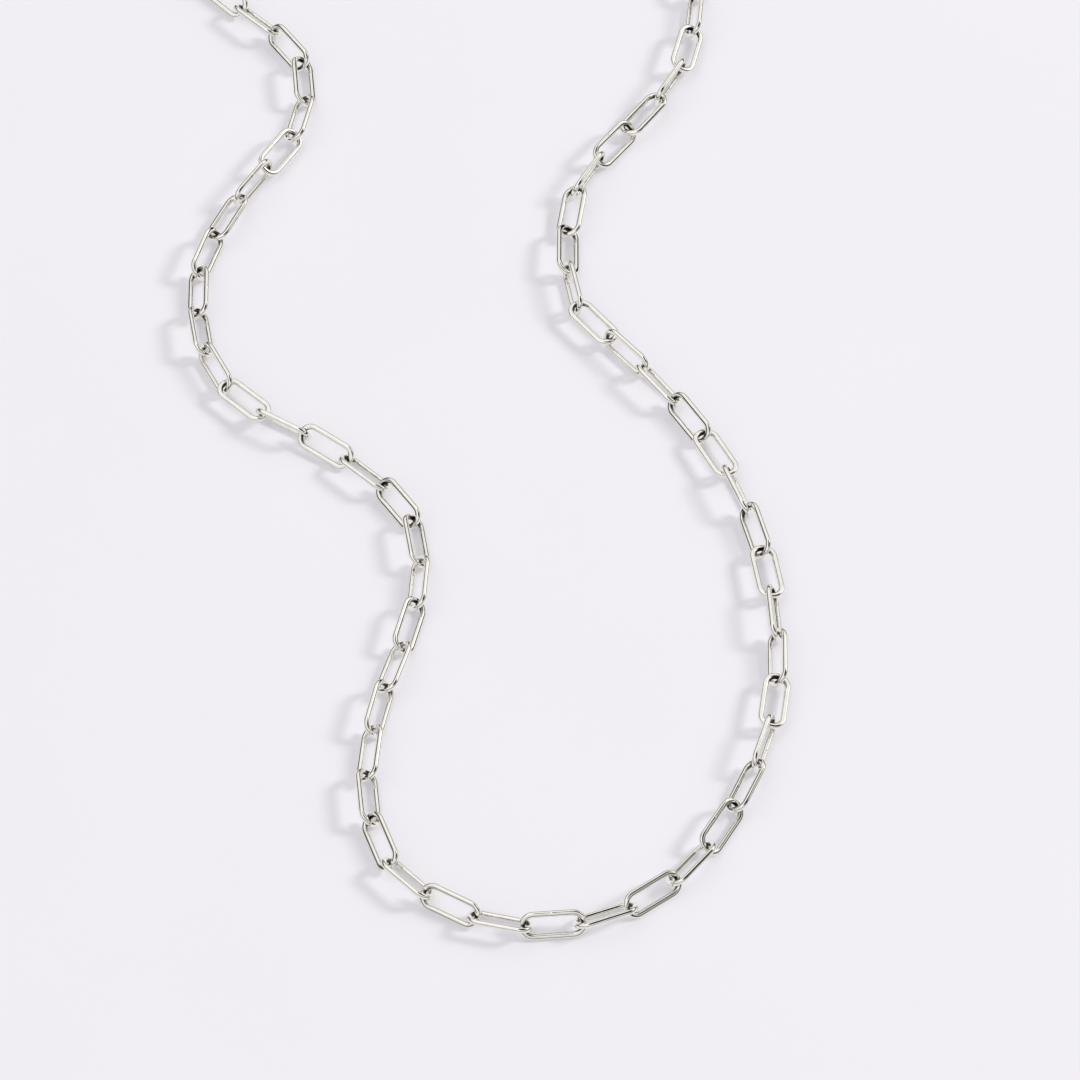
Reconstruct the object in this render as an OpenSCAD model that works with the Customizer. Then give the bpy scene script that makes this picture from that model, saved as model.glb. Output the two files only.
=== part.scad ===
// Paperclip chain necklace: long flat links of one size, closed behind by a plain bolt ring,
// lying loose on a flat surface as one whole loop.

/* [Link] */
// Length of a link over its round ends
link_l = 8; // [7:0.1:12]
// Width of a link over its two long sides
link_w = 3.5; // [3.3:0.05:4.2]
// Length of the straight bit in the middle of a link's end
end_flat = 0.15; // [0.1:0.05:0.8]
// Width of the wire, and its diameter before it was flattened
wire_w = 0.74; // [0.6:0.02:0.8]
// Thickness of the wire between its two flats
wire_t = 0.66; // [0.44:0.02:0.7]

/* [Lie] */
// Length of the whole necklace along its middle line, with its clasp
necklace_l = 458.5; // [400:0.5:560]
// Least play between the wires of two links where they hook into each other
joint_gap = 0.15; // [0.12:0.01:0.25]
// Most that a joint lies above the next one, where a steep link holds up its neighbours
rise = 0.35; // [0.2:0.05:0.6]

/* [Clasp] */
// Outer diameter of the bolt ring
ring_d = 6.4; // [6:0.2:9]
// Thickness of the bolt ring's tube
ring_wire = 1.4; // [1:0.1:1.5]
// Outer diameter of the eye on the bolt ring
eye_d = 3; // [2.8:0.1:4]
// Thickness of the eye's wire
eye_wire = 0.8; // [0.6:0.1:1]
// Depth that the eye's wire is soldered into the ring's tube
eye_sink = 0.6; // [0.3:0.1:0.7]

/* [Hidden] */

// The places that the chain passes, seen from above, in millimetres, and the turn of its links
// about it there, in degrees. They run from the clasp down the left side, round the front and
// up the right side, back to the clasp. The whole route then takes the necklace's length.
X = 0;
Y = 1;
TURN = 2;
ROUTE = [
    [-17.5, 125.5, 0],
    [-29.5, 121.5, -10],
    [-40, 113.5, -20],
    [-46.5, 103.5, -35],
    [-45.5, 92.5, -45],
    [-39.5, 85.5, -50],
    [-31, 76, -35],
    [-31.5, 64, -55],
    [-38, 53.5, 20],
    [-43, 41.5, 40],
    [-42, 29.5, 45],
    [-39.5, 24, 70],
    [-35, 19.5, 100],
    [-24, 12.5, 140],
    [-15.5, 3, 135],
    [-15, -9.5, 140],
    [-18.5, -21.5, 125],
    [-20.5, -34, 135],
    [-17.5, -46, 135],
    [-7, -53.5, 145],
    [5, -54, 140],
    [15.5, -48.5, 140],
    [23, -38, 130],
    [27.5, -26.5, 180],
    [28.5, -14.5, 230],
    [27, -1.5, 295],
    [23, 10.5, 350],
    [16.5, 21.5, 420],
    [8.5, 31, 360],
    [4.5, 36, 370],
    [3.5, 42, 385],
    [4.5, 54, 440],
    [11, 64, 510],
    [18, 74, 555],
    [20.5, 87, 580],
    [19.5, 99, 600],
    [13.5, 110, 615],
    [3.5, 119.5, 625],
    [-8, 124.5, 630]
];
// Distance along the route from its first place to the first joint, beside the clasp
first_joint = 2.5;

// Steps in which each stretch between two places is walked
steps = 24;
// Smoothness of the arcs
$fn = 40;
EAST = [1, 0, 0];
NORTH = [0, 1, 0];
UP = [0, 0, 1];

corner_r = (link_w - end_flat) / 2;
bend_r = corner_r - wire_w / 2;
side_l = link_l - 2 * corner_r;
flat_w = sqrt(max(0, wire_w * wire_w - wire_t * wire_t));

// Smooth curve from b to c, with a before and d after them, at the share t of the way
function curve(a, b, c, d, t) =
    b + 0.5 * t * (c - a + t * (2 * a - 5 * b + 4 * c - d + t * (3 * (b - c) + d - a)));

places = len(ROUTE);
function place(i) = let (row = ROUTE[(i + places) % places]) [row[X], row[Y]];
drawn = [for (i = [0 : places - 1]) for (k = [0 : steps - 1])
    curve(place(i - 1), place(i), place(i + 1), place(i + 2), k / steps)];
marks = len(drawn);
// Length of a closed line of marks up to each of them, and all round it
function runs(line) = [for (
    i = 0, s = 0;
    i <= marks;
    s = s + norm(line[(i + 1) % marks] - line[i % marks]), i = i + 1
) s];
path = drawn * (necklace_l / runs(drawn)[marks]);
run = runs(path);
path_x = [for (i = [0 : marks]) [run[i], path[i % marks][X]]];
path_y = [for (i = [0 : marks]) [run[i], path[i % marks][Y]]];
turns = [for (i = [0 : places - 1]) [run[i * steps], ROUTE[i][TURN]]];

// The clasp: its eye's centre from its ring's, and the distance between its two joints
eye_x = (ring_d + eye_d) / 2 - eye_sink;
clasp_span = eye_x + (ring_d + eye_d) / 2 - ring_wire - eye_wire - joint_gap;

// As many pairs of links as the rest of the route needs, all alike, so that the links at both
// ends stand across the flat clasp
pairs = ceil((necklace_l - clasp_span) / (link_l - 2 * wire_w - joint_gap) / 2);
links = 2 * pairs;
pitch = (necklace_l - clasp_span) / links;

// A link's turn about the chain: each one stands across its neighbours
function lean(i) = lookup(first_joint + (i - 0.5) * pitch, turns) + 90 * (i % 2);

// Reach of the flattened wire from its middle, where a direction has the part m across its
// width and the part c across its flats
function wire_reach(m, c) = abs(c) * wire_w < wire_t * norm([m, c])
    ? wire_w / 2 * norm([m, c])
    : flat_w / 2 * m + wire_t / 2 * abs(c);
// Reach of a link from its centre in the direction d, from its three axes
function link_reach(axes, d) =
    let (along = axes[0] * d, across = axes[1] * d, m = norm([along, across]))
    abs(along) * side_l / 2 + abs(across) * end_flat / 2 + m * bend_r + wire_reach(m, axes[2] * d);
// Height of a link's axis where it rests on its lower side
function rest_height(angle) =
    link_reach([EAST, [0, cos(angle), sin(angle)], [0, -sin(angle), cos(angle)]], UP);
rests = [for (i = [1 : links]) rest_height(lean(i))];
// A joint lies as high as the steepest links near it need, less the rise for each joint between
function joint_height(j) = max(ring_wire / 2,
    max([for (i = [1 : links]) rests[i - 1] - rise * (j >= i ? j - i : i - 1 - j)]));
joints = [for (j = [0 : links])
    let (s = first_joint + j * pitch)
    [lookup(s, path_x), lookup(s, path_y), joint_height(j)]];

// The three axes of a piece that runs from one point to another and leans by an angle
function axes_of(from, to, angle) =
    let (
        along = (to - from) / norm(to - from),
        level = cross(UP, along) / norm(cross(UP, along)),
        upright = cross(along, level),
        across = cos(angle) * level + sin(angle) * upright
    )
    [along, across, cross(along, across)];
function link_axes(i) = axes_of(joints[i - 1], joints[i], lean(i));
function link_middle(i) = (joints[i - 1] + joints[i]) / 2;

// The clasp runs level from the last joint back to the first, its ring at the last one
clasp_axes = axes_of(joints[links], joints[0], 0);
ring_middle = joints[links] + clasp_axes[0] * (ring_d - 2 * ring_wire - joint_gap) / 2;
eye_middle = ring_middle + clasp_axes[0] * eye_x;

// Ends of the whole necklace in the direction d, which is EAST, NORTH or UP, or its opposite
function ring_end(middle, d_out, wire, d) =
    middle * d + norm([clasp_axes[0] * d, clasp_axes[1] * d]) * (d_out - wire) / 2 + wire / 2;
function end_towards(d) = max(
    max([for (i = [1 : links]) link_middle(i) * d + link_reach(link_axes(i), d)]),
    ring_end(ring_middle, ring_d, ring_wire, d),
    ring_end(eye_middle, eye_d, eye_wire, d));
function middle_along(d) = (end_towards(d) - end_towards(-d)) / 2;
// Shift that puts the middle of the necklace over the origin and its lowest point at height 0
home = [-middle_along(EAST), -middle_along(NORTH), end_towards(-UP)];

module wire_section() {
    intersection() {
        circle(d = wire_w);
        square([wire_w, wire_t], center = true);
    }
}

module wire_ring(d_out, wire) {
    rotate_extrude()
        translate([(d_out - wire) / 2, 0])
            circle(d = wire);
}

// A quarter of the link about its middle: one round corner, half a long side and half an end
module link_quarter() {
    translate([side_l / 2, end_flat / 2, 0])
        rotate_extrude(angle = 90)
            translate([bend_r, 0])
                wire_section();
}

module link() {
    for (along = [0, 1])
        for (across = [0, 1])
            mirror([along, 0, 0])
                mirror([0, across, 0])
                    link_quarter();
    for (side = [-1, 1]) {
        translate([0, side * (link_w - wire_w) / 2, 0])
            rotate([90, 0, 90])
                linear_extrude(side_l, center = true)
                    wire_section();
        translate([side * (link_l - wire_w) / 2, 0, 0])
            rotate([90, 0, 0])
                linear_extrude(end_flat, center = true)
                    wire_section();
    }
}

// Puts a piece made along X, with its flats up, on its axes and at its place
module placed(axes, middle) {
    at = middle + home;
    multmatrix([
        [axes[0][0], axes[1][0], axes[2][0], at[0]],
        [axes[0][1], axes[1][1], axes[2][1], at[1]],
        [axes[0][2], axes[1][2], axes[2][2], at[2]]
    ])
        children();
}

// The links from one number to another, counted from the clasp's eye
module links_between(first, last) {
    color("gainsboro")
        for (i = [first : last])
            placed(link_axes(i), link_middle(i))
                link();
}

module chain_left() {
    links_between(1, pairs);
}

module chain_right() {
    links_between(pairs + 1, links);
}

module clasp() {
    color("silver")
        placed(clasp_axes, ring_middle) {
            wire_ring(ring_d, ring_wire);
            translate([eye_x, 0, 0])
                wire_ring(eye_d, eye_wire);
        }
}

chain_left();
chain_right();
clasp();
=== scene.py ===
"""Paperclip chain necklace: the looks of its links and its clasp, on a pale floor."""

import bpy
import numpy as np
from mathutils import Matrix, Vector


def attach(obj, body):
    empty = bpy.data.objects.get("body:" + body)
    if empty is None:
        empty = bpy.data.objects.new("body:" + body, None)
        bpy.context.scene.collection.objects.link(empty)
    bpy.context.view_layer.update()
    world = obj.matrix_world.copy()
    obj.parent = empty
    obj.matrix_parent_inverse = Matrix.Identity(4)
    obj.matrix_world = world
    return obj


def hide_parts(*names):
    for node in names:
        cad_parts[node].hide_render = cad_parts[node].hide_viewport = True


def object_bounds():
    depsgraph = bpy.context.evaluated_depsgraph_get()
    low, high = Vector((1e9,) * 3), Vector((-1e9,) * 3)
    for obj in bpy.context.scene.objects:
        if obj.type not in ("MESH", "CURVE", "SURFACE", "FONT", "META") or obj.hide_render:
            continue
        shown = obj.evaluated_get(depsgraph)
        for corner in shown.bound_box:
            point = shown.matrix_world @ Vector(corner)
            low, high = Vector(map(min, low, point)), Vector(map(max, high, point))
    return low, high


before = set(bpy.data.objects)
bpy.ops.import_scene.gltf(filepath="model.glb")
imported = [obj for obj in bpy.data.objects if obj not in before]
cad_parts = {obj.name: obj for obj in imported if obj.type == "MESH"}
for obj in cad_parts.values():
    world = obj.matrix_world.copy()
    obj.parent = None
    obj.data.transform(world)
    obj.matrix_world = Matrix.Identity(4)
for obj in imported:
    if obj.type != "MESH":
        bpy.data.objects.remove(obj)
cad_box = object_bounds()

MM = 0.001
SEED = 11

# The link, as in the part's source
LINK_L = 8.0 * MM
LINK_W = 3.5 * MM
END_FLAT = 0.15 * MM
WIRE_W = 0.74 * MM
WIRE_T = 0.66 * MM

# How the chain lies
NECKLACE_L = 458.5 * MM
JOINT_GAP = 0.15 * MM
RISE = 0.35 * MM
FIRST_JOINT = 2.5 * MM

# The clasp
RING_D = 6.4 * MM
RING_WIRE = 1.4 * MM
EYE_D = 3.0 * MM
EYE_WIRE = 0.8 * MM
EYE_SINK = 0.6 * MM

# The places that the chain passes, seen from above, in metres, and the turn of its links about
# it there, in degrees, from the clasp down the left side and back up the right side
ROUTE = np.array([
    [-0.0175, 0.1255, 0],
    [-0.0295, 0.1215, -10],
    [-0.04, 0.1135, -20],
    [-0.0465, 0.1035, -35],
    [-0.0455, 0.0925, -45],
    [-0.0395, 0.0855, -50],
    [-0.031, 0.076, -35],
    [-0.0315, 0.064, -55],
    [-0.038, 0.0535, 20],
    [-0.043, 0.0415, 40],
    [-0.042, 0.0295, 45],
    [-0.0395, 0.024, 70],
    [-0.035, 0.0195, 100],
    [-0.024, 0.0125, 140],
    [-0.0155, 0.003, 135],
    [-0.015, -0.0095, 140],
    [-0.0185, -0.0215, 125],
    [-0.0205, -0.034, 135],
    [-0.0175, -0.046, 135],
    [-0.007, -0.0535, 145],
    [0.005, -0.054, 140],
    [0.0155, -0.0485, 140],
    [0.023, -0.038, 130],
    [0.0275, -0.0265, 180],
    [0.0285, -0.0145, 230],
    [0.027, -0.0015, 295],
    [0.023, 0.0105, 350],
    [0.0165, 0.0215, 420],
    [0.0085, 0.031, 360],
    [0.0045, 0.036, 370],
    [0.0035, 0.042, 385],
    [0.0045, 0.054, 440],
    [0.011, 0.064, 510],
    [0.018, 0.074, 555],
    [0.0205, 0.087, 580],
    [0.0195, 0.099, 600],
    [0.0135, 0.11, 615],
    [0.0035, 0.1195, 625],
    [-0.008, 0.1245, 630],
])
STEPS = 24

# How sharply the wire's flats turn into its round edges
SOFTNESS = 8
# The waves that bending and tumbling leave in the wire's width: the most that each one adds, how
# many there are, and the periods of the slowest. Then the most that a link's ends are twisted
# each way, in degrees
WAVE = 0.003 * MM
WAVE_COUNT = 3
LEAST_PERIODS = 2
TWIST = 0.8
# The solder seam: its width, its ridge and the groove in that, the share of the width that each
# of them reaches from its middle, and the least of both that a link has
SEAM_W = 0.3 * MM
SEAM_RISE = 0.025 * MM
SEAM_GROOVE = 0.018 * MM
RIDGE_REACH = 0.5
GROOVE_REACH = 0.12
LEAST_SEAM = 0.3
# What the waves and the seam change in the thickness, against what they change in the width
FLATS_SHARE = 0.5
# How dark the inner side of a link's long sides is painted, how much darker at its ends, how much
# less some links have, and how narrow the darkening is on the sides and at the ends. It is partly
# tarnish and partly painted shade where the links meet, with painted dark reflection on inner edges
SIDE_SHADE = 0.6
END_SHADE = 0.6
SHADE_SPREAD = 0.5
SIDE_NARROWNESS = 3
END_NARROWNESS = 0.5

# Rows of faces along each stretch of the link, and round its wire
SEAM_ROWS = 4
SIDE_ROWS = 4
BEND_ROWS = 12
END_ROWS = 2
ROUND_ROWS = 26
# Rows of faces along the clasp's ring and its eye, and round their wires
RING_ROWS = (96, 32)
EYE_ROWS = (64, 24)
# How much further on each next link's map begins, so that links in a row have different marks
MAP_SHIFT = NECKLACE_L / 5

# The silver, the duller clouds in it on the links and on the clasp, and the dark colour painted on
# the links' inner sides, partly tarnish and partly painted shade and dark reflection
SILVER = (0.95, 0.93, 0.865)
LINK_CLOUDS = (0.88, 0.86, 0.797)
CLASP_CLOUDS = (0.87, 0.85, 0.787)
TARNISH_AND_SHADE = (0.075, 0.06, 0.048)
# Roughness of the smoothest and the roughest marks, on the links and on the clasp
LINK_ROUGHNESS = (0.02, 0.08)
CLASP_ROUGHNESS = (0.05, 0.14)
# The metal's patterns: spots for each metre in the clouds, the pits and the ragged edge of the
# painted inner shade, and how the marks' map is stretched, so that they run along the wire
CLOUD_SPOTS = 900
PIT_SPOTS = 14000
SHADE_EDGE_SPOTS = 2500
MARK_STRETCH = (0.7, 26, 1)
# How ragged the edge of the painted inner shade is, the attribute value at which it begins and at
# which it is full, and how much rougher the metal is under it
SHADE_RAGGEDNESS = 0.4
SHADE_BEGINS = 0.62
SHADE_FULL = 0.95
SHADE_ROUGHNESS = 0.2
# What the marks and the pits add to the relief, how strongly it shows, and its height
MARK_RELIEF = 0.6
PIT_RELIEF = 0.4
RELIEF_STRENGTH = 0.04
RELIEF_HEIGHT = 0.02 * MM

# The floor: half its width, how far under height 0 it lies, its two tints, and the light that it
# gives of its own, a painted glow that stands for the bright room and lightens the floor and the
# shadows on it
FLOOR_HALF = 2.0
FLOOR_DROP = 0.004 * MM
FLOOR_TINTS = ((0.683, 0.67, 0.703), (0.692, 0.679, 0.712))
FLOOR_GLOW = (0.96, 0.94, 1.0)
GLOW_STRENGTH = 0.255

# The photograph's view: the middle of its frame is the route's own origin
VIEW_HEIGHT = 1.6 * MM
VIEW_AZIMUTH = -90.0
VIEW_ELEVATION = 55.0
VIEW_DISTANCE = 645.8 * MM
VIEW_LENS = 176.9

# The main light: where it stands, seen from the necklace, its width, its power and its colour
LIGHT_AZIMUTH = 12.0
LIGHT_ELEVATION = 34.0
LIGHT_DISTANCE = 4.0
LIGHT_SIZE = 0.9
LIGHT_POWER = 78.0
LIGHT_COLOUR = (1.0, 0.99, 0.97)

# The studio's greys at some heights, each height as the sine of its elevation: on most sides,
# with a dark gap low down, and on the camera's side, where the gap is lower
WALLS = [(0.0, 0.0), (0.25, 0.01), (0.37, 0.83), (0.75, 0.94), (1.0, 1.1)]
FRONT_WALLS = [(0.0, 0.02), (0.14, 0.05), (0.26, 0.67), (0.75, 0.9), (1.0, 1.1)]
# The middle of the camera's side, and the cosines of the angles from there at which its greys
# begin and at which they are full
FRONT_AZIMUTH = -110.0
FRONT_BEGINS = 0.45
FRONT_FULL = 0.8
# What hangs in front of the walls: azimuth, elevation, half width and soft edge, all in degrees,
# and brightness
HANGINGS = [
    (-13, 59, 31, 2.5, 0.004),  # a round black card
    (150, 8, 24, 8, 0.12),  # a dark corner behind
    (24, 32, 13, 7, 1.6),  # the white glow of the main light
]

CORNER_R = (LINK_W - END_FLAT) / 2
BEND_R = CORNER_R - WIRE_W / 2
SIDE_L = LINK_L - 2 * CORNER_R
FLAT_W = np.sqrt(WIRE_W**2 - WIRE_T**2)
EYE_X = (RING_D + EYE_D) / 2 - EYE_SINK
CLASP_SPAN = EYE_X + (RING_D + EYE_D) / 2 - RING_WIRE - EYE_WIRE - JOINT_GAP
UP = np.array([0.0, 0.0, 1.0])

rng = np.random.default_rng(SEED)


# How the chain lies

def route_line():
    """Marks along the closed route, brought to the necklace's length, and the length up to each.

    Between the places b and c, with a before and d after them, the mark at the share t of the
    way is b + t/2 (c - a + t (2a - 5b + 4c - d + t (3 (b - c) + d - a)))."""
    b = ROUTE[:, None, :2]
    a, c, d = (np.roll(b, n, axis=0) for n in (1, -1, -2))
    t = (np.arange(STEPS) / STEPS)[None, :, None]
    drawn = b + t / 2 * (c - a + t * (2 * a - 5 * b + 4 * c - d + t * (3 * (b - c) + d - a)))
    drawn = np.vstack([drawn.reshape(-1, 2), drawn[0, :1]])
    run = np.append(0, np.cumsum(np.linalg.norm(np.diff(drawn, axis=0), axis=1)))
    grow = NECKLACE_L / run[-1]
    return drawn * grow, run * grow


def axes_of(start, end, lean):
    """Right-handed axes of pieces that run from start to end: along it, then the level direction
    beside it turned about it by the lean, then across both. They are the columns of a 3 x 3."""
    along = end - start
    along /= np.linalg.norm(along, axis=1)[:, None]
    level = np.cross(UP, along)
    level /= np.linalg.norm(level, axis=1)[:, None]
    upright = np.cross(along, level)
    turn = np.radians(lean)[:, None]
    across = np.cos(turn) * level + np.sin(turn) * upright
    return np.stack([along, across, np.cross(along, across)], axis=2)


def rest_height(lean):
    """Height of a link's axis over the floor where the link rests on its lower long side: the
    end's half flat and the bend, times the sine of the lean, and the wire's own reach there."""
    side, face = np.abs(np.sin(np.radians(lean))), np.abs(np.cos(np.radians(lean)))
    on_edge = face * WIRE_W < WIRE_T * np.hypot(side, face)
    reach = np.where(on_edge, WIRE_W / 2 * np.hypot(side, face),
                     FLAT_W / 2 * side + WIRE_T / 2 * face)
    return side * (END_FLAT / 2 + BEND_R) + reach


def lay_links():
    """Joints between the links, and the middle and axes of each link.

    As many pairs of equal steps as the route needs after the clasp. Each link stands across its
    neighbours, and a joint is as high as the steepest links near it need, less the rise for each
    joint between."""
    line, run = route_line()
    pairs = int(np.ceil((NECKLACE_L - CLASP_SPAN) / (LINK_L - 2 * WIRE_W - JOINT_GAP) / 2))
    count = 2 * pairs
    pitch = (NECKLACE_L - CLASP_SPAN) / count
    number = np.arange(1, count + 1)
    lean = np.interp(FIRST_JOINT + (number - 0.5) * pitch,
                     run[:-1:STEPS], ROUTE[:, 2]) + 90 * (number % 2)
    at = np.arange(count + 1)[:, None]
    between = np.where(at >= number, at - number, number - 1 - at)
    height = np.maximum((rest_height(lean) - RISE * between).max(axis=1), RING_WIRE / 2)
    s = FIRST_JOINT + np.arange(count + 1) * pitch
    joints = np.column_stack([np.interp(s, run, line[:, 0]), np.interp(s, run, line[:, 1]), height])
    return joints, (joints[1:] + joints[:-1]) / 2, axes_of(joints[:-1], joints[1:], lean)


# Surfaces

def wire_section(count):
    """Angles round a flattened wire, and its points (out, up) there.

    Out is the half width times the cosine. Up is the half width times the sine, s, pressed to
    s / (1 + |s / h|^q)^(1/q) under the half thickness h, and brought back to h at its top."""
    v = np.arange(count) * 2 * np.pi / count
    h, s = WIRE_T / 2, WIRE_W / 2 * np.sin(v)
    pressed = s / (1 + np.abs(s / h)**SOFTNESS)**(1 / SOFTNESS)
    top = WIRE_W / 2 / (1 + (WIRE_W / 2 / h)**SOFTNESS)**(1 / SOFTNESS)
    return v, WIRE_W / 2 * np.cos(v), pressed * h / top


def link_line():
    """Length, points and outward angle along a link's middle line, a rounded rectangle.

    It starts at the seam in the middle of a long side. Between the knots both the corner centre
    and the outward angle change evenly, so the stretches are straight, then a quarter circle."""
    x, y = SIDE_L / 2, END_FLAT / 2
    quarter = np.pi / 2 * BEND_R
    # length, rows, outward angle, centre x and y at the end of each stretch
    knots = np.array([
        [0, 0, -90, 0, -y],
        [SEAM_W, SEAM_ROWS, -90, SEAM_W, -y],
        [x - SEAM_W, SIDE_ROWS, -90, x, -y],
        [quarter, BEND_ROWS, 0, x, -y],
        [2 * y, END_ROWS, 0, x, y],
        [quarter, BEND_ROWS, 90, x, y],
        [2 * x, 2 * SIDE_ROWS, 90, -x, y],
        [quarter, BEND_ROWS, 180, -x, y],
        [2 * y, END_ROWS, 180, -x, -y],
        [quarter, BEND_ROWS, 270, -x, -y],
        [x - SEAM_W, SIDE_ROWS, 270, -SEAM_W, -y],
        [SEAM_W, SEAM_ROWS, 270, 0, -y],
    ])
    ends, rows = np.cumsum(knots[:, 0]), np.cumsum(knots[:, 1])
    length = np.interp(np.arange(int(rows[-1])), rows, ends)
    angle = np.radians(np.interp(length, ends, knots[:, 2]))
    centre = np.stack([np.interp(length, ends, knots[:, n]) for n in (3, 4)], axis=1)
    outward = np.stack([np.cos(angle), np.sin(angle)], axis=1)
    return length, ends[-1], centre + BEND_R * outward, outward


def waves(count, share, top):
    """Slow random waves along a closed line, one row for each link: the sum of a few sines, each
    of one period more than the last, with its own height and phase."""
    periods = (LEAST_PERIODS + np.arange(WAVE_COUNT))[None, :, None]
    height = rng.uniform(-top, top, (count, WAVE_COUNT, 1))
    phase = rng.uniform(0, 2 * np.pi, (count, WAVE_COUNT, 1))
    return (height * np.sin(2 * np.pi * periods * share[None, None, :] + phase)).sum(axis=1)


def link_surfaces(middles, axes, plain=False):
    """Surface of each link as a closed grid of points along and round its wire, and the shade
    painted on it.

    The flattened section is carried along the link's middle line. It swells and thins a little
    on the way, has a low ridge with a fine groove at the seam, each a bell curve of the distance
    from it, and turns about the link's length by an angle that grows evenly with the place along
    it, to the link's own twist at its end. Some links are turned half round. A plain link has
    none of these errors. The painted shade, partly tarnish and partly standing in for the shade
    where links meet and for dark reflections on the inner edges, is the cosine of the angle from
    the wire's inner side, to a power that is less at both ends, so it is widest there, and
    deepest. Each link has its own share of it."""
    v, out, up = wire_section(ROUND_ROWS)
    length, whole, line, outward = link_line()
    count = len(middles)
    from_seam = np.minimum(length, whole - length)
    seam = (SEAM_RISE * np.exp(-(from_seam / (RIDGE_REACH * SEAM_W))**2)
            - SEAM_GROOVE * np.exp(-(from_seam / (GROOVE_REACH * SEAM_W))**2))
    share = length / whole
    if plain:
        swell = thin = np.zeros((count, len(length)))
        twist, flip = np.zeros(count), np.ones(count)
    else:
        swell = waves(count, share, WAVE) + seam * rng.uniform(LEAST_SEAM, 1, (count, 1))
        thin = (waves(count, share, FLATS_SHARE * WAVE)
                + FLATS_SHARE * seam * rng.uniform(LEAST_SEAM, 1, (count, 1)))
        twist = np.radians(rng.uniform(-TWIST, TWIST, count))
        flip = rng.choice([-1, 1], count)
    wide = 1 + swell[:, :, None] / (WIRE_W / 2)
    high = 1 + thin[:, :, None] / (WIRE_T / 2)
    x = line[None, :, 0, None] + outward[None, :, 0, None] * out * wide
    y = line[None, :, 1, None] + outward[None, :, 1, None] * out * wide
    z = up * high
    turn = twist[:, None, None] * x / (LINK_L / 2)
    local = np.stack([flip[:, None, None] * x,
                      flip[:, None, None] * (y * np.cos(turn) - z * np.sin(turn)),
                      y * np.sin(turn) + z * np.cos(turn)], axis=3)
    points = middles[:, None, None] + np.einsum("kij,kmnj->kmni", axes, local)
    # Painted shade and dark reflection on the wire's inner side, deepest at the ends where the
    # links meet, with some tarnish
    near_end = np.clip((np.abs(line[:, 0]) - SIDE_L / 2) / BEND_R, 0, 1)[:, None]
    narrowness = SIDE_NARROWNESS + (END_NARROWNESS - SIDE_NARROWNESS) * near_end
    inner = np.clip(-np.cos(v), 0, 1)**narrowness * (SIDE_SHADE + END_SHADE * near_end)
    patina = inner * rng.uniform(1 - SHADE_SPREAD, 1, (count, 1, 1))
    return points, patina


def ring_surface(middle, axes, diameter, wire, rows, round_rows):
    """Closed grid of a ring's surface, level with the first two axes: a circle of half the wire's
    width, carried round a circle through the middle of the wire."""
    u = (np.arange(rows) * 2 * np.pi / rows)[:, None]
    v = (np.arange(round_rows) * 2 * np.pi / round_rows)[None, :]
    reach = (diameter - wire) / 2 + wire / 2 * np.cos(v)
    local = np.stack([reach * np.cos(u), reach * np.sin(u),
                      wire / 2 * np.sin(v) + 0 * u], axis=2)
    return middle + local @ axes.T


# Pieces

def piece_of(name, grids, material, patina=None):
    """One mesh of closed grids, each an array (pieces, along, round, 3), with a smooth finish.

    Its map runs in millimetres along and round the wire, and its attribute of painted inner shade
    says how dark the metal is painted there, for shade, dark reflection and some tarnish."""
    points, faces, maps = [], [], []
    first = 0
    for grid in grids:
        count, m, n, _ = grid.shape
        index = first + np.arange(count * m * n).reshape(count, m, n)
        ahead, beside = np.roll(index, -1, axis=1), np.roll(index, -1, axis=2)
        faces.append(np.stack([index, ahead, np.roll(ahead, -1, axis=2), beside],
                              axis=3).reshape(-1, 4))
        step_m = np.linalg.norm(np.roll(grid, -1, axis=1) - grid, axis=3).mean(axis=2)
        step_n = np.linalg.norm(np.roll(grid, -1, axis=2) - grid, axis=3).mean(axis=1)
        end_m = np.cumsum(step_m, axis=1)[:, :, None]
        end_n = np.cumsum(step_n, axis=1)[:, None, :]
        start_m, start_n = end_m - step_m[:, :, None], end_n - step_n[:, None, :]
        corners = [(start_m, start_n), (end_m, start_n), (end_m, end_n), (start_m, end_n)]
        own = (np.arange(count) * MAP_SHIFT)[:, None, None]
        maps.append(np.stack([np.stack([np.broadcast_to(a + own, index.shape),
                                        np.broadcast_to(b, index.shape)], axis=3)
                              for a, b in corners], axis=3).reshape(-1, 2) / MM)
        points.append(grid.reshape(-1, 3))
        first += count * m * n
    points, faces, maps = np.concatenate(points), np.concatenate(faces), np.concatenate(maps)
    mesh = bpy.data.meshes.new(name)
    mesh.vertices.add(len(points))
    mesh.vertices.foreach_set("co", points.astype(np.float32).ravel())
    mesh.loops.add(faces.size)
    mesh.loops.foreach_set("vertex_index", faces.astype(np.int32).ravel())
    mesh.polygons.add(len(faces))
    mesh.polygons.foreach_set("loop_start", np.arange(0, faces.size, 4, dtype=np.int32))
    mesh.polygons.foreach_set("use_smooth", np.ones(len(faces), dtype=bool))
    mesh.uv_layers.new(name="along_wire").data.foreach_set("uv", maps.astype(np.float32).ravel())
    shade = mesh.attributes.new("patina", "FLOAT", "POINT")
    values = np.zeros(len(points)) if patina is None else patina.ravel()
    shade.data.foreach_set("value", values.astype(np.float32))
    mesh.update(calc_edges=True)
    mesh.validate()
    mesh.materials.append(material)
    piece = bpy.data.objects.new(name, mesh)
    bpy.context.collection.objects.link(piece)
    return piece


# Materials

def new_material(name):
    """An empty node material, with its output and a Principled shader joined to it."""
    material = bpy.data.materials.new(name)
    material.use_nodes = True
    nodes = material.node_tree.nodes
    nodes.clear()
    output = nodes.new("ShaderNodeOutputMaterial")
    shader = nodes.new("ShaderNodeBsdfPrincipled")
    material.node_tree.links.new(shader.outputs["BSDF"], output.inputs["Surface"])
    return material, shader


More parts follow.
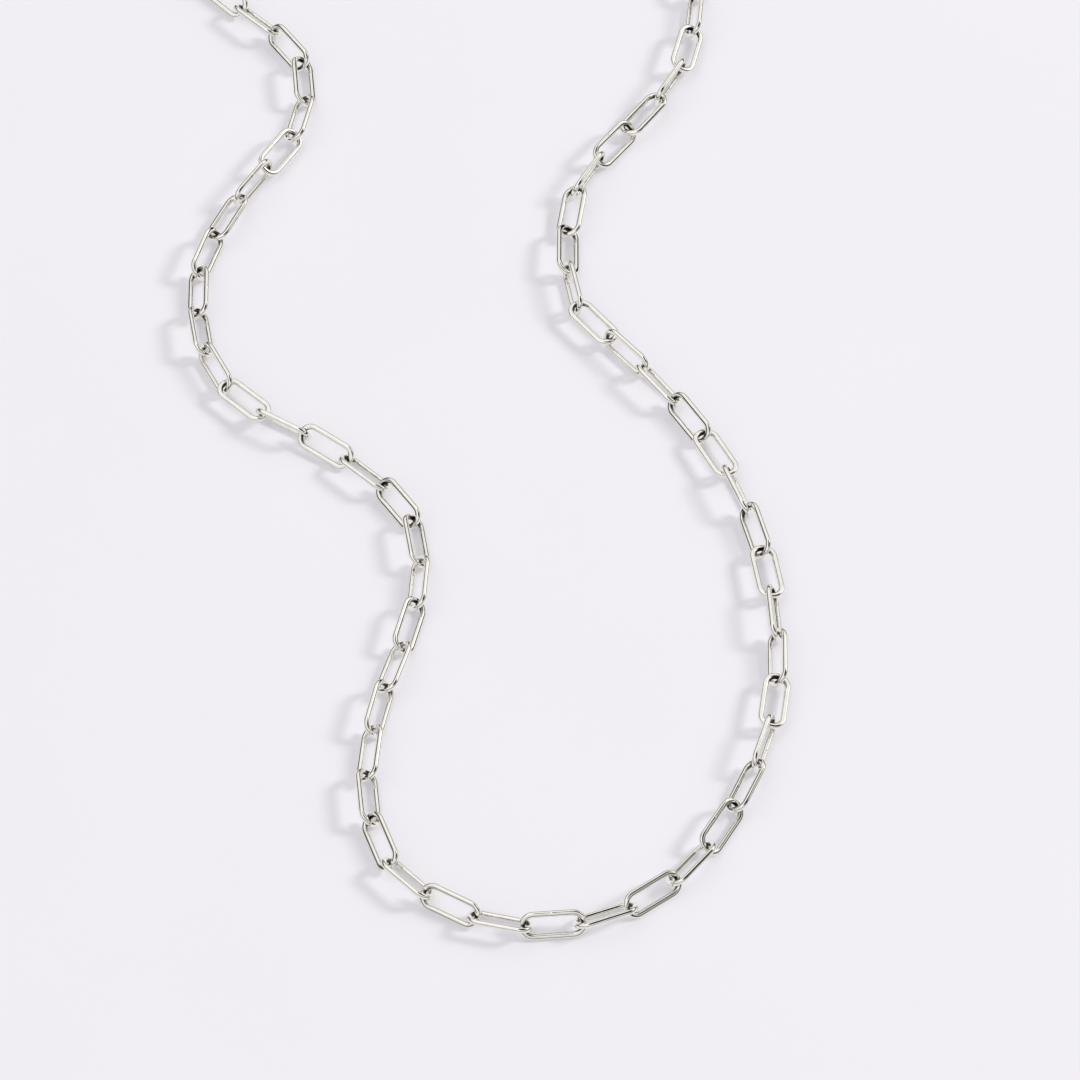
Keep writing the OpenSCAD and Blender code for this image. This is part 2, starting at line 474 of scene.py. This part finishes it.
def noise(tree, vector, scale, detail, stretch=None):
    """A noise field on the given coordinates, first stretched by the given factors. Its scale is
    in spots for each metre of a piece, or for each millimetre of a map."""
    if stretch is not None:
        mapping = tree.nodes.new("ShaderNodeMapping")
        mapping.inputs["Scale"].default_value = stretch
        tree.links.new(vector, mapping.inputs["Vector"])
        vector = mapping.outputs["Vector"]
    field = tree.nodes.new("ShaderNodeTexNoise")
    field.inputs["Scale"].default_value = scale
    field.inputs["Detail"].default_value = detail
    tree.links.new(vector, field.inputs["Vector"])
    return field.outputs["Fac"]


def ramp(tree, value, stops):
    """Colours at the given places of a value, or greys where a stop has a number alone."""
    node = tree.nodes.new("ShaderNodeValToRGB")
    elements = node.color_ramp.elements
    while len(elements) < len(stops):
        elements.new(0.5)
    for element, (place, colour) in zip(elements, stops):
        element.position = place
        element.color = (*np.broadcast_to(colour, 3), 1)
    tree.links.new(value, node.inputs["Fac"])
    return node.outputs["Color"]


def maths(tree, operation, a, b):
    """One sum of two values, each a socket or a number."""
    node = tree.nodes.new("ShaderNodeMath")
    node.operation = operation
    for socket, value in zip(node.inputs, (a, b)):
        if isinstance(value, (int, float)):
            socket.default_value = value
        else:
            tree.links.new(value, socket)
    return node.outputs["Value"]


def polished_metal(name, light, dull, smooth, rough):
    """Polished white metal: clouds of slightly duller metal, fine marks along the wire, tiny pits
    from tumbling, and a dark colour painted where the inner shade attribute says, partly tarnish
    and partly painted shade and dark reflection."""
    material, shader = new_material(name)
    tree = material.node_tree
    coordinates = tree.nodes.new("ShaderNodeTexCoord")
    place, along = coordinates.outputs["Object"], coordinates.outputs["UV"]
    patina = tree.nodes.new("ShaderNodeAttribute")
    patina.attribute_name = "patina"

    clouds = noise(tree, place, CLOUD_SPOTS, 3)
    marks = noise(tree, along, 1, 4, MARK_STRETCH)
    pits = noise(tree, place, PIT_SPOTS, 2)

    colour = ramp(tree, clouds, [(0.3, dull), (0.7, light)])
    # Painted shade: the inner shade attribute, given a ragged edge, darkens the colour and roughens
    # the metal
    film = maths(tree, "ADD", patina.outputs["Fac"],
                 maths(tree, "MULTIPLY", noise(tree, place, SHADE_EDGE_SPOTS, 3), SHADE_RAGGEDNESS))
    film = ramp(tree, film, [(SHADE_BEGINS, 0.0), (SHADE_FULL, 1.0)])
    painted_darkening = tree.nodes.new("ShaderNodeMix")
    painted_darkening.data_type = "RGBA"
    painted_darkening.inputs["B"].default_value = (*TARNISH_AND_SHADE, 1)
    tree.links.new(film, painted_darkening.inputs["Factor"])
    tree.links.new(colour, painted_darkening.inputs["A"])
    tree.links.new(painted_darkening.outputs["Result"], shader.inputs["Base Color"])

    streaks = ramp(tree, marks, [(0.45, smooth), (0.72, rough)])
    rougher = maths(tree, "MULTIPLY", film, SHADE_ROUGHNESS)
    tree.links.new(maths(tree, "ADD", streaks, rougher), shader.inputs["Roughness"])

    height = maths(tree, "ADD", maths(tree, "MULTIPLY", marks, MARK_RELIEF),
                   maths(tree, "MULTIPLY", pits, PIT_RELIEF))
    bump = tree.nodes.new("ShaderNodeBump")
    bump.inputs["Strength"].default_value = RELIEF_STRENGTH
    bump.inputs["Distance"].default_value = RELIEF_HEIGHT
    tree.links.new(height, bump.inputs["Height"])
    tree.links.new(bump.outputs["Normal"], shader.inputs["Normal"])

    shader.inputs["Metallic"].default_value = 1.0
    return material


def floor_material():
    """Smooth pale card with a faint lavender tint, a hint of grain, and a faint painted glow of its
    own that lightens it and its shadows.
    """
    material, shader = new_material("pale_card")
    tree = material.node_tree
    place = tree.nodes.new("ShaderNodeTexCoord").outputs["Object"]
    tint = ramp(tree, noise(tree, place, 30, 3), [(0.3, FLOOR_TINTS[0]), (0.7, FLOOR_TINTS[1])])
    tree.links.new(tint, shader.inputs["Base Color"])
    # Painted light: the floor glows faintly, which lifts it and its shadows
    shader.inputs["Emission Color"].default_value = (*FLOOR_GLOW, 1)
    shader.inputs["Emission Strength"].default_value = GLOW_STRENGTH
    shader.inputs["Roughness"].default_value = 0.9
    shader.inputs["Specular IOR Level"].default_value = 0.2
    return material


# The setting

def direction_of(azimuth, elevation):
    """Unit direction at an azimuth from +X towards +Y and an elevation over the floor."""
    azimuth, elevation = np.radians([azimuth, elevation])
    return Vector((np.cos(elevation) * np.cos(azimuth), np.cos(elevation) * np.sin(azimuth),
                   np.sin(elevation)))


def near_to(tree, towards, azimuth, elevation, outside, inside):
    """How near a direction is to the one given, by the cosine of the angle between them: 0 up to
    the cosine outside, 1 from the cosine inside, and growing evenly between them."""
    near = tree.nodes.new("ShaderNodeVectorMath")
    near.operation = "DOT_PRODUCT"
    near.inputs[1].default_value = direction_of(azimuth, elevation)
    tree.links.new(towards, near.inputs[0])
    share = tree.nodes.new("ShaderNodeMapRange")
    share.inputs["From Min"].default_value = outside
    share.inputs["From Max"].default_value = inside
    tree.links.new(near.outputs["Value"], share.inputs["Value"])
    return share.outputs["Result"]


def mixed(tree, share, first, second):
    """The first colour where the share is 0, the second where it is 1, and both between."""
    mix = tree.nodes.new("ShaderNodeMix")
    mix.data_type = "RGBA"
    tree.links.new(share, mix.inputs["Factor"])
    tree.links.new(first, mix.inputs["A"])
    tree.links.new(second, mix.inputs["B"])
    return mix.outputs["Result"]


def build_floor():
    """A wide flat sheet just under the necklace."""
    corners = [(-1, -1), (1, -1), (1, 1), (-1, 1)]
    mesh = bpy.data.meshes.new("floor")
    mesh.from_pydata([(x * FLOOR_HALF, y * FLOOR_HALF, -FLOOR_DROP) for x, y in corners],
                     [], [(0, 1, 2, 3)])
    mesh.materials.append(floor_material())
    floor = bpy.data.objects.new("floor", mesh)
    bpy.context.collection.objects.link(floor)


def build_world():
    """A studio seen in the metal: bright overhead and on the walls, with a dark gap low down
    between the walls and the floor, which is lower on the camera's side, a round black card and
    a white glow on the right, and a dark corner at the back.

    The greys of the walls go by the height of the direction. Those of the camera's side are mixed
    in where the direction comes near to it, and what hangs there where it comes near to that."""
    world = bpy.data.worlds.new("studio")
    bpy.context.scene.world = world
    world.use_nodes = True
    tree = world.node_tree
    back = tree.nodes["Background"]
    towards = tree.nodes.new("ShaderNodeTexCoord").outputs["Generated"]
    split = tree.nodes.new("ShaderNodeSeparateXYZ")
    tree.links.new(towards, split.inputs["Vector"])
    at_front = near_to(tree, towards, FRONT_AZIMUTH, 0, FRONT_BEGINS, FRONT_FULL)
    light = mixed(tree, at_front, ramp(tree, split.outputs["Z"], WALLS),
                  ramp(tree, split.outputs["Z"], FRONT_WALLS))
    for azimuth, elevation, half, edge, brightness in HANGINGS:
        outside, inside = np.cos(np.radians([half + edge, half - edge]))
        grey = tree.nodes.new("ShaderNodeRGB").outputs["Color"]
        grey.default_value = (brightness, brightness, brightness, 1)
        light = mixed(tree, near_to(tree, towards, azimuth, elevation, outside, inside),
                      light, grey)
    tree.links.new(light, back.inputs["Color"])
    back.inputs["Strength"].default_value = 1.0


def build_light(target):
    """The main light, a square soft box that faces the necklace from the right. The metal shows
    the studio's glow in its place, so it isn't seen there itself."""
    light = bpy.data.lights.new("soft_box", "AREA")
    light.size = LIGHT_SIZE
    light.energy = LIGHT_POWER
    light.color = LIGHT_COLOUR
    box = bpy.data.objects.new("soft_box", light)
    towards = direction_of(LIGHT_AZIMUTH, LIGHT_ELEVATION)
    box.location = target + LIGHT_DISTANCE * towards
    box.rotation_euler = towards.to_track_quat("Z", "Y").to_euler()
    box.visible_glossy = False
    bpy.context.collection.objects.link(box)


def build_camera(target):
    """The photograph's camera: it stands in front and looks down onto the target."""
    camera = bpy.data.cameras.new("camera")
    camera.lens = VIEW_LENS
    camera.clip_start = 10 * MM
    towards = direction_of(VIEW_AZIMUTH, VIEW_ELEVATION)
    holder = bpy.data.objects.new("camera", camera)
    holder.location = target + VIEW_DISTANCE * towards
    holder.rotation_euler = towards.to_track_quat("Z", "Y").to_euler()
    bpy.context.collection.objects.link(holder)
    bpy.context.scene.camera = holder


# The necklace

joints, middles, axes = lay_links()
clasp_axes = axes_of(joints[-1:], joints[:1], np.zeros(1))[0]
ring_middle = joints[-1] + clasp_axes[:, 0] * (RING_D - 2 * RING_WIRE - JOINT_GAP) / 2
eye_middle = ring_middle + clasp_axes[:, 0] * EYE_X
clasp = [ring_surface(ring_middle, clasp_axes, RING_D, RING_WIRE, *RING_ROWS),
         ring_surface(eye_middle, clasp_axes, EYE_D, EYE_WIRE, *EYE_ROWS)]

# The route's own origin, in the frame: the middle of the laid necklace goes to the frame's
laid = np.concatenate([link_surfaces(middles, axes, plain=True)[0].reshape(-1, 3),
                       *(ring.reshape(-1, 3) for ring in clasp)])
low, high = laid.min(axis=0), laid.max(axis=0)
home = (np.array(cad_box[0]) + np.array(cad_box[1]) - low - high) / 2

chain_metal = polished_metal("polished_silver", SILVER, LINK_CLOUDS, *LINK_ROUGHNESS)
clasp_metal = polished_metal("clasp_silver", SILVER, CLASP_CLOUDS, *CLASP_ROUGHNESS)

half_way = len(middles) // 2
for node, part in (("chain_left", slice(0, half_way)), ("chain_right", slice(half_way, None))):
    grid, patina = link_surfaces(middles[part] + home, axes[part])
    links = piece_of(node + "_links", [grid], chain_metal, patina)
    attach(links, "root")
    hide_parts(node)

bolt_ring = piece_of("bolt_ring", [ring[None] + home for ring in clasp], clasp_metal)
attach(bolt_ring, "root")
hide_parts("clasp")

target = Vector(home) + Vector((0, 0, VIEW_HEIGHT))
build_floor()
build_world()
build_light(target)
build_camera(target)
bpy.context.scene.view_settings.view_transform = "Standard"
